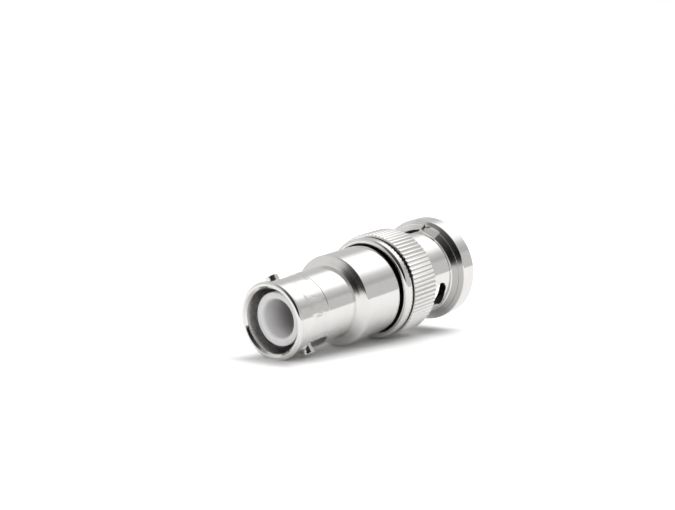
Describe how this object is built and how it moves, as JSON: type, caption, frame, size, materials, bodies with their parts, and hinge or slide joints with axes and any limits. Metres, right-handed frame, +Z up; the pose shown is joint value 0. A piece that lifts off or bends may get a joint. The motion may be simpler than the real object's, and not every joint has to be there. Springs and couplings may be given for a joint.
{
  "type": "high-voltage to bayonet coaxial adapter",
  "caption": "Straight coaxial adapter: a high-voltage bayonet jack with a recessed pin at one end and a plug with a knurled, turning bayonet nut at the other.",
  "frame": {"origin": "centre of the mating face of the coupling nut, which is the lowest face", "axes": "+Z up along the common axis from the plug's nut towards the jack's rim; +X through one bayonet lug of the jack"},
  "size_m": [0.0144, 0.0144, 0.0347],
  "materials": {
    "nickel_shell": "bright nickel plate over turned brass",
    "nickel_nut": "bright nickel plate over turned and knurled brass",
    "nickel_contact": "nickel plate over spring bronze",
    "white_ptfe": "white turned fluoropolymer, satin",
    "gold_contact": "gold plate over brass",
    "dark_silicone": "moulded silicone, black",
    "spring_metal": "rolled spring bronze"
  },
  "bodies": {
    "adapter_body": {"shv_jack_shell": "nickel_shell", "shv_insulator": "white_ptfe", "shv_contact_pin": "gold_contact", "middle_insulator": "white_ptfe", "bnc_centre_pin": "gold_contact", "bnc_insulator": "white_ptfe", "bnc_contact_sleeve": "nickel_contact", "sealing_gasket": "dark_silicone", "retaining_ring": "spring_metal", "stop_washer": "spring_metal", "spring_washer_front": "spring_metal", "spring_washer_rear": "spring_metal"},
    "thrust_washer": {"pressure_washer": "spring_metal"},
    "nut": {"coupling_nut": "nickel_nut"}
  },
  "joints": [
    {"name": "nut_travel", "type": "slide", "parent": "adapter_body", "child": "thrust_washer", "axis": [0, 0, -1], "range_m": [0, 0.0007], "stiffness_N_per_m": 3000, "deforming": ["spring_washer_front", "spring_washer_rear"]},
    {"name": "nut_turn", "type": "hinge", "parent": "thrust_washer", "child": "nut", "pos_m": [0, 0, 0.0147], "axis": [0, 0, 1], "continuous": true}
  ]
}
